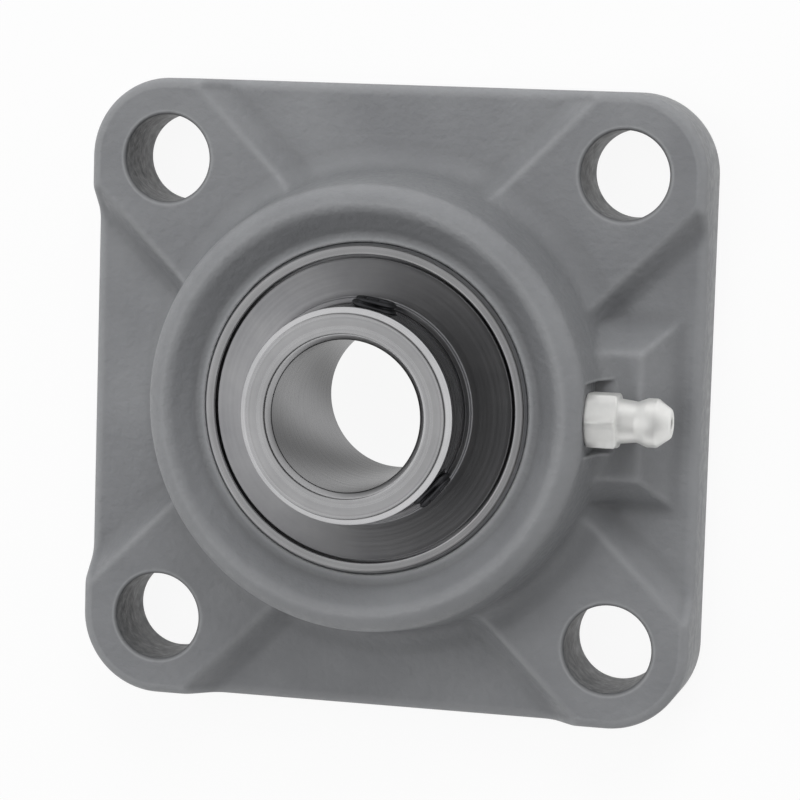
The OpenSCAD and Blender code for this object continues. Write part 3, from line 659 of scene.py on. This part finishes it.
# %% Set screws
SCREW_R, SCREW_END_R, SCREW_LENGTH, SCREW_FOOT = 3.0, 2.5, 5.0, 10.35
PITCH, THREAD_DEPTH, THREAD_POWER = 1.0, 0.45, 1.5
CUP_R = 1.25
SOCKET_HALF, SOCKET_DEPTH, SOCKET_EDGE = 1.5, 2.5, 0.12
SCREW_COLUMNS, SCREW_ROWS = 60, 61


def set_screw(number, middle):
    """A thread whose radius swings once per pitch along the screw and once per turn around it, kept inside a
    chamfer at each end; one end is hollowed by a cup, the other by a hexagon."""
    turn = np.linspace(0, 2 * np.pi, SCREW_COLUMNS, endpoint=False)
    along = np.linspace(0, SCREW_LENGTH, SCREW_ROWS)[:, None]
    swing = 0.5 - 0.5 * np.cos(2 * np.pi * along / PITCH - turn)
    chamfer = SCREW_END_R + np.minimum(along, SCREW_LENGTH - along)
    thread = np.minimum(SCREW_R - THREAD_DEPTH * swing**THREAD_POWER, chamfer)
    flat = np.ones_like(turn)[None]
    socket = hexagon(turn, SOCKET_HALF)[None]
    radius = np.concatenate([0 * flat, CUP_R * flat, thread, socket + SOCKET_EDGE, socket, socket, 0 * flat])
    floor = SCREW_LENGTH - SOCKET_DEPTH
    hollow = [SCREW_LENGTH, SCREW_LENGTH - SOCKET_EDGE, floor, floor]
    heights = np.concatenate([[CUP_R, 0.0], along[:, 0], hollow])
    axis = [np.cos(middle), np.sin(middle), 0]
    grid = about_axis([0, 0, SCREW_Z], axis, heights[:, None] + SCREW_FOOT, radius, turn)
    node, body = f"set_screw_{number}", f"screw_{number}"
    return make_piece(f"{node}_threaded", [(grid, True)], body, "black_screw", node)


screws = [set_screw(number, middle) for number, middle in enumerate(SCREW_TURNS, 1)]

# %% [markdown]
# ## Effects that several finishes share
# Some things happen on many of these surfaces: a skin is never quite even in tone, outer edges are painted
# lighter, partly as thin paint and partly as a painted highlight, and corners are painted darker as painted
# shade. Each effect is built once as a node group with its own inputs. Painting it by hand on an image would
# tie it to one mesh; as nodes it follows any piece.


# %% Node helpers, uneven skin and edges
def place(tree, kind, values=None, **settings):
    """Adds a shader node; values go to its inputs by name or number, and a socket as a value is linked."""
    item = tree.nodes.new("ShaderNode" + kind)
    for key, value in settings.items():
        setattr(item, key, value)
    for key, value in (values or {}).items():
        if isinstance(value, bpy.types.NodeSocket):
            tree.links.new(value, item.inputs[key])
        else:
            item.inputs[key].default_value = value
    return item


def sums(tree, operation, *values, **settings):
    """The result of a Math node on some numbers or sockets."""
    return place(tree, "Math", dict(enumerate(values)), operation=operation, **settings).outputs[0]


def mapped(tree, value, from_low, from_high, to_low, to_high):
    """A value of one range, carried over to another and kept inside it."""
    ends = {"From Min": from_low, "From Max": from_high, "To Min": to_low, "To Max": to_high}
    return place(tree, "MapRange", {"Value": value, **ends}).outputs[0]


def new_group(name, inputs, outputs):
    """A node group with named inputs, as name and value, and named number outputs."""
    tree = bpy.data.node_groups.new(name, "ShaderNodeTree")
    for key, value in inputs.items():
        kind = "NodeSocketVector" if isinstance(value, tuple) else "NodeSocketFloat"
        tree.interface.new_socket(key, in_out="INPUT", socket_type=kind).default_value = value
    for key in outputs:
        tree.interface.new_socket(key, in_out="OUTPUT", socket_type="NodeSocketFloat")
    return tree, tree.nodes.new("NodeGroupInput").outputs, tree.nodes.new("NodeGroupOutput").inputs


sizes = {"Patch size": 90.0, "Grain size": 1400.0}
uneven_skin, given, result = new_group("uneven_skin", sizes, ["Patches", "Grain"])
at = place(uneven_skin, "TexCoord").outputs["Object"]
broad = {"Vector": at, "Scale": given["Patch size"], "Detail": 4.0, "Roughness": 0.6}
fine = {"Vector": at, "Scale": given["Grain size"], "Detail": 3.0, "Roughness": 0.55}
for noise, output in ((broad, "Patches"), (fine, "Grain")):
    uneven_skin.links.new(place(uneven_skin, "TexNoise", noise).outputs["Fac"], result[output])

# The first output lightens outer edges, partly as thin paint and partly as a painted highlight; the second
# darkens corners and creases as painted shade.
edge_highlight_and_shade, given, result = new_group("edge_highlight_and_shade", {"Sharpness": 1.6}, ["Outer", "Corner shade"])
bend = place(edge_highlight_and_shade, "Attribute", attribute_name="bend").outputs["Fac"]
hollow = sums(edge_highlight_and_shade, "MULTIPLY", given["Sharpness"], -1.0)
for amount, output in ((given["Sharpness"], "Outer"), (hollow, "Corner shade")):
    edge_highlight_and_shade.links.new(sums(edge_highlight_and_shade, "MULTIPLY", bend, amount, use_clamp=True), result[output])
print("node groups:", [group.name for group in bpy.data.node_groups])

# %% [markdown]
# ## Effects that belong to a place
# Turned metal shows fine rings about its axis, painted shade darkens the walls of the bolt holes, and painted
# shade lies in the bore in slanting bands, while the outer ring is made a little darker beyond a given radius.
# All of them depend on where a point lies, so the groups work with its coordinates; a second material on some
# of the faces would end at a hard border.

# %% Turned lines, painted shade in bolt holes and bore
BANDS_AROUND, BANDS_ALONG, BAND_START, BAND_LOW = 4.0, 147.0, 0.25, 0.55
TONE_RIM, RIM_WIDTH, RIM_SHARE = 0.0199, 0.0005, 0.25


def from_axis(tree, x, y):
    """The distance of a point from an axis along z."""
    flat = place(tree, "CombineXYZ", {0: x, 1: y}).outputs[0]
    return place(tree, "VectorMath", {0: flat}, operation="LENGTH").outputs["Value"]


preset = {"Place": (0.0, 0.0, 0.0), "Fineness": 2500.0}
turned_lines, given, result = new_group("turned_lines", preset, ["Lines"])
x, y, z = place(turned_lines, "SeparateXYZ", {0: given["Place"]}).outputs
strip = place(turned_lines, "CombineXYZ", {0: from_axis(turned_lines, x, y), 1: z}).outputs[0]
lines = place(turned_lines, "TexNoise", {"Vector": strip, "Scale": given["Fineness"], "Detail": 2.0})
turned_lines.links.new(lines.outputs["Fac"], result["Lines"])

# Mask of the bolt hole walls, which the paint darkens as painted shade.
preset = {"At": HOLE_AT * MM, "Radius": (HOLE_R + RIM) * MM}
bolt_wall_shade, given, result = new_group("bolt_wall_shade", preset, ["Hole"])
at = place(bolt_wall_shade, "TexCoord").outputs["Object"]
at = place(bolt_wall_shade, "VectorMath", {0: at}, operation="ABSOLUTE").outputs[0]
x, y, z = place(bolt_wall_shade, "SeparateXYZ", {0: at}).outputs
x, y = (sums(bolt_wall_shade, "SUBTRACT", value, given["At"]) for value in (x, y))
outside_hole = sums(bolt_wall_shade, "SUBTRACT", from_axis(bolt_wall_shade, x, y), given["Radius"])
bolt_wall_shade.links.new(mapped(bolt_wall_shade, outside_hole, -RIM * MM, 0.0, 1.0, 0.0), result["Hole"])

# Painted shade in slanting bands over the bore, and a plain darker tone on the outer ring beyond a given
# radius.
bore_shade_and_rim_tone, given, result = new_group("bore_shade_and_rim_tone", {"Bore": BORE_R * MM, "Rim": TONE_RIM}, ["Film"])
x, y, z = place(bore_shade_and_rim_tone, "SeparateXYZ", {0: place(bore_shade_and_rim_tone, "TexCoord").outputs["Object"]}).outputs
away = from_axis(bore_shade_and_rim_tone, x, y)
phase = sums(bore_shade_and_rim_tone, "MULTIPLY_ADD", sums(bore_shade_and_rim_tone, "ARCTAN2", y, x), BANDS_AROUND, BAND_START)
phase = sums(bore_shade_and_rim_tone, "MULTIPLY_ADD", z, BANDS_ALONG, phase)
bands = mapped(bore_shade_and_rim_tone, sums(bore_shade_and_rim_tone, "COSINE", phase), -1.0, 1.0, BAND_LOW, 1.0)
in_bore = mapped(bore_shade_and_rim_tone, sums(bore_shade_and_rim_tone, "SUBTRACT", away, given["Bore"]), 0.0, RING_CHAMFER * MM, 1.0, 0.0)
at_rim = mapped(bore_shade_and_rim_tone, sums(bore_shade_and_rim_tone, "SUBTRACT", away, given["Rim"]), 0.0, RIM_WIDTH, 0.0, RIM_SHARE)
shade_and_tone = sums(bore_shade_and_rim_tone, "MAXIMUM", sums(bore_shade_and_rim_tone, "MULTIPLY", in_bore, bands), at_rim)
bore_shade_and_rim_tone.links.new(shade_and_tone, result["Film"])
print("node groups:", [group.name for group in bpy.data.node_groups])

# %% [markdown]
# ## Machine paint on a casting
# The housing is sprayed in a grey enamel straight over the sand-cast skin. The paint is even from afar; its
# outer edges are painted lighter, partly as thin paint and partly as a painted highlight, its corners are
# painted darker as painted shade, and the walls of its bolt holes are painted dark as painted shade. The grain
# of the sand shows as a fine bump. A flat grey would hide all the soft forms, because nothing would break the
# light on them.

# %% Paint
PAINT_DARK, PAINT_LIGHT = (0.158, 0.162, 0.17), (0.198, 0.203, 0.211)
PAINT_EDGE, PAINT_CORNER_SHADE, PAINT_HOLE_SHADE = (0.25, 0.255, 0.263), (0.12, 0.123, 0.128), (0.075, 0.077, 0.08)
NOISE_LOW, NOISE_HIGH = 0.3, 0.7


def new_finish(name):
    """A material with its node tree and its Principled shader."""
    finish = bpy.data.materials.new(name)
    finish.use_nodes = True
    return finish, finish.node_tree, finish.node_tree.nodes["Principled BSDF"]


def effect(tree, group, **values):
    """The outputs of a shared effect, placed in a material with its own values; an underscore in a value's
    name stands for the space in the input's."""
    inputs = {key.replace("_", " "): value for key, value in values.items()}
    return place(tree, "Group", inputs, node_tree=group).outputs


def mixed(tree, share, low, high):
    """A colour between two others, by a share from a mask."""
    mix = place(tree, "Mix", data_type="RGBA")
    for socket, value in zip((mix.inputs[0], mix.inputs[6], mix.inputs[7]), (share, low, high)):
        if isinstance(value, bpy.types.NodeSocket):
            tree.links.new(value, socket)
        else:
            socket.default_value = (*value, 1.0)
    return mix.outputs[2]


def bumped(tree, shader, height, strength, distance):
    """Lets a height tilt the shader's normal."""
    bump = place(tree, "Bump", {"Height": height, "Strength": strength, "Distance": distance})
    tree.links.new(bump.outputs[0], shader.inputs["Normal"])


def spread(tree, noise, low, high):
    """A noise, which mostly lies between 0.3 and 0.7, spread over another range."""
    return mapped(tree, noise, NOISE_LOW, NOISE_HIGH, low, high)


paint, tree, shader = new_finish("machine_paint")
skin = effect(tree, uneven_skin, Patch_size=70.0, Grain_size=900.0)
edge_shading = effect(tree, edge_highlight_and_shade, Sharpness=1.5)
grey = mixed(tree, spread(tree, skin["Patches"], 0.0, 1.0), PAINT_DARK, PAINT_LIGHT)
# Outer edges painted lighter: thin paint and a painted highlight.
grey = mixed(tree, edge_shading["Outer"], grey, PAINT_EDGE)
# Corners painted darker as painted shade.
grey = mixed(tree, edge_shading["Corner shade"], grey, PAINT_CORNER_SHADE)
# Walls of the bolt holes painted dark as painted shade.
grey = mixed(tree, effect(tree, bolt_wall_shade)["Hole"], grey, PAINT_HOLE_SHADE)
tree.links.new(grey, shader.inputs["Base Color"])
tree.links.new(spread(tree, skin["Grain"], 0.42, 0.6), shader.inputs["Roughness"])
bumped(tree, shader, skin["Grain"], 0.55, 0.0003)
housing.data.materials.append(paint)
print("paint on", housing.name)

# %% [markdown]
# ## Steel, zinc, rubber and black oxide
# The rings are ground and the discs pressed from bright sheet, so both are metal with fine rings in their
# gloss; the sheet is duller. The fitting is zinc plated, with soft clouds in its tone. Rubber is dark and
# matt, and the set screws are blackened. Each could have a shader of its own kind, but one function with the
# shared effects at other values keeps them alike where real metals are alike.

# %% Metals and rubber
UNTURNED, FITTING_TURN = (0.0, 0.0, 0.0), (0.0, np.pi / 2, 0.0)
PLAIN_TINT, OILY_TINT = (1.0, 1.0, 1.0, 1.0), (0.65, 0.65, 0.65, 1.0)
CORNER_SHADE_SHARE, DARKENED_SHARE = 0.6, 0.25


def metal(name, dark, light, rough, fineness, turn=UNTURNED, metallic=1.0, oily_and_shaded=False):
    """A turned metal: two tones by broad patches, gloss and bump by fine rings about its own axis."""
    finish, tree, shader = new_finish(name)
    shader.inputs["Metallic"].default_value = metallic
    shader.inputs["Specular Tint"].default_value = OILY_TINT if oily_and_shaded else PLAIN_TINT
    at = place(tree, "TexCoord").outputs["Object"]
    own = place(tree, "Mapping", {"Vector": at, "Rotation": turn}).outputs[0]
    lines = effect(tree, turned_lines, Place=own, Fineness=fineness)["Lines"]
    skin = effect(tree, uneven_skin, Patch_size=160.0, Grain_size=2600.0)
    edge_shading = effect(tree, edge_highlight_and_shade, Sharpness=0.25)
    tone = mixed(tree, spread(tree, skin["Patches"], 0.0, 1.0), dark, light)
    # Corners painted darker as painted shade.
    tone = mixed(tree, edge_shading["Corner shade"], tone, tuple(CORNER_SHADE_SHARE * c for c in dark))
    if oily_and_shaded:
        # Painted shade in bands in the bore, and a darker tone on the outer ring.
        tone = mixed(tree, effect(tree, bore_shade_and_rim_tone)["Film"], tone, tuple(DARKENED_SHARE * c for c in dark))
    tree.links.new(tone, shader.inputs["Base Color"])
    tree.links.new(spread(tree, lines, rough - 0.06, rough + 0.08), shader.inputs["Roughness"])
    bumped(tree, shader, lines, 0.12, 0.0001)
    return finish


steel = metal("ground_steel", (0.52, 0.52, 0.53), (0.6, 0.6, 0.61), 0.28, 2500.0, oily_and_shaded=True)
sheet = metal("pressed_sheet", (0.36, 0.36, 0.375), (0.43, 0.43, 0.44), 0.36, 1800.0)
zinc = metal("zinc_plate", (0.7, 0.7, 0.69), (0.84, 0.84, 0.82), 0.45, 1500.0, FITTING_TURN, 0.58)
black = metal("black_oxide", (0.045, 0.046, 0.05), (0.07, 0.07, 0.075), 0.42, 1500.0)

rubber, tree, shader = new_finish("seal_rubber")
skin = effect(tree, uneven_skin, Patch_size=200.0, Grain_size=3000.0)
tone = mixed(tree, skin["Patches"], (0.016, 0.016, 0.017), (0.03, 0.03, 0.032))
tree.links.new(tone, shader.inputs["Base Color"])
tree.links.new(spread(tree, skin["Grain"], 0.6, 0.75), shader.inputs["Roughness"])
bumped(tree, shader, skin["Grain"], 0.2, 0.0001)

finishes = {"housing_paint": paint, "bearing_steel": steel, "sheet_steel": sheet, "zinc_plate": zinc}
finishes.update({"seal_rubber": rubber, "black_screw": black})
for piece in (front_slinger, rear_slinger, outer_ring, inner_ring, fitting, spring, *screws):
    piece.data.materials.append(finishes[piece["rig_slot"]])
for part in frame["record"]["subparts"]:
    solid = frame["nodes"][part["node"]]
    solid.data.materials.clear()
    solid.data.materials.append(finishes[part["material_slot"]])
print("finishes:", sorted(finishes))

# %% [markdown]
# ## Floor
# The photograph shows the bearing on plain white. The floor is a pale sheet that the camera and the metal see
# as nearly white, with a faint shadow. A white backdrop without a floor would be simpler, but the object
# would float on it; so the sheet glows only for rays that come from the camera or a mirror.

# %% Floor
FLOOR_HALF, FLOOR_Z = 4.0, -0.0006
FLOOR_TONE, FLOOR_ROUGH, GLOW_SHARE = (0.7, 0.7, 0.7, 1.0), 0.9, 0.92

floor_mesh = bpy.data.meshes.new("floor")
floor_corners = [(FLOOR_HALF * x, FLOOR_HALF * y, FLOOR_Z) for x, y in ((-1, -1), (1, -1), (1, 1), (-1, 1))]
floor_mesh.from_pydata(floor_corners, [], [(0, 1, 2, 3)])
floor = bpy.data.objects.new("floor", floor_mesh)
bpy.context.scene.collection.objects.link(floor)
pale, tree, shader = new_finish("pale_floor")
shader.inputs["Base Color"].default_value = FLOOR_TONE
shader.inputs["Roughness"].default_value = FLOOR_ROUGH
shader.inputs["Specular IOR Level"].default_value = 0.0
ray = place(tree, "LightPath").outputs
seen = sums(tree, "MAXIMUM", ray["Is Camera Ray"], ray["Is Glossy Ray"])
seen = sums(tree, "MAXIMUM", seen, ray["Is Transmission Ray"])
share = sums(tree, "MULTIPLY", seen, GLOW_SHARE)
glow = place(tree, "Emission", {"Color": (1, 1, 1, 1), "Strength": 1.0}).outputs[0]
both = place(tree, "MixShader", {0: share, 1: shader.outputs[0], 2: glow})
tree.links.new(both.outputs[0], tree.nodes["Material Output"].inputs["Surface"])
floor_mesh.materials.append(pale)
print("floor of", 2 * FLOOR_HALF, "m")

# %% [markdown]
# ## Sky and lamps
# Broad lamps light the paint, most of all from above the picture. The metal doesn't mirror them: it mirrors a
# sky with white walls, a dark ceiling and one soft bright patch on the left, as a light tent would show it,
# so its rings get a light and a dark half. Lamps that the metal mirrors would leave hard squares on the
# rings.

# %% Sky and lamps
PATCH_AT = (-0.575, -0.05, 0.817)
WALL_LIGHT = {"From Min": 0.3, "From Max": 0.62, "To Min": 1.0, "To Max": 0.045}
PATCH_LIGHT = {"From Min": 0.82, "From Max": 0.95, "To Min": 0.0, "To Max": 0.78}
LAMPS = {
    "top_lamp": {"direction": (-0.1, 0.15, 0.97), "distance": 1.2, "size": 1.0, "watts": 6.5},
    "key_lamp": {"direction": (0.15, 0.74, 0.62), "distance": 1.0, "size": 0.5, "watts": 5.0},
    "fill_lamp": {"direction": (-0.8, 0.1, 0.55), "distance": 1.0, "size": 0.6, "watts": 0.8},
}

sky = bpy.data.worlds.new("studio_sky")
bpy.context.scene.world = sky
sky.use_nodes = True
tree = sky.node_tree
view = place(tree, "TexCoord").outputs["Generated"]
rise = place(tree, "SeparateXYZ", {0: view}).outputs["Z"]
facing = place(tree, "VectorMath", {0: view, 1: PATCH_AT}, operation="DOT_PRODUCT").outputs["Value"]
wall, patch = (
    place(tree, "MapRange", {"Value": value, **light}, interpolation_type="SMOOTHSTEP").outputs[0]
    for value, light in ((rise, WALL_LIGHT), (facing, PATCH_LIGHT))
)
tree.links.new(sums(tree, "ADD", wall, patch), tree.nodes["Background"].inputs["Strength"])
tree.nodes["Background"].inputs["Color"].default_value = (1, 1, 1, 1)


def soft_lamp(name, direction, distance, size, watts):
    """A square lamp at a distance in some direction, turned to the object and not mirrored by it."""
    lamp = bpy.data.lights.new(name, "AREA")
    lamp.size, lamp.energy = size, watts
    holder = bpy.data.objects.new(name, lamp)
    back = np.asarray(direction, float) / np.linalg.norm(direction)
    side = np.cross([0, 0, 1], back)
    side /= np.linalg.norm(side)
    axes = Matrix(np.stack([side, np.cross(back, side), back], -1).tolist())
    holder.matrix_world = Matrix.Translation((back * distance).tolist()) @ axes.to_4x4()
    holder.visible_glossy = False
    bpy.context.scene.collection.objects.link(holder)


for name, setting in LAMPS.items():
    soft_lamp(name, **setting)
print("lamps:", sorted(LAMPS))

# %% [markdown]
# ## Camera
# The camera stands where the photograph was taken. Its place, its three axes and its lens were fitted until
# the bolt holes, the bore, the boss and the outline fell where the photograph has them. Guessing by eye would
# come near, but then the ellipses of the rings would show the error first.

# %% Camera
CAMERA_AT = (0.104645, 0.044762, 0.421563)
CAMERA_RIGHT, CAMERA_UP = (0.96884, 0.03060, -0.24578), (-0.05525, 0.99403, -0.09405)
CAMERA_BACK = (0.24144, 0.10469, 0.96475)
SENSOR_WIDTH, LENS = 36.0, 140.15

camera_data = bpy.data.cameras.new("photo_camera")
camera_data.sensor_width, camera_data.lens = SENSOR_WIDTH, LENS
camera = bpy.data.objects.new("photo_camera", camera_data)
camera_axes = Matrix((CAMERA_RIGHT, CAMERA_UP, CAMERA_BACK)).transposed()
camera.matrix_world = Matrix.Translation(CAMERA_AT) @ camera_axes.to_4x4()
bpy.context.scene.collection.objects.link(camera)
bpy.context.scene.camera = camera
bpy.context.scene.view_settings.view_transform = "Standard"
print("camera with a lens of", LENS, "mm")
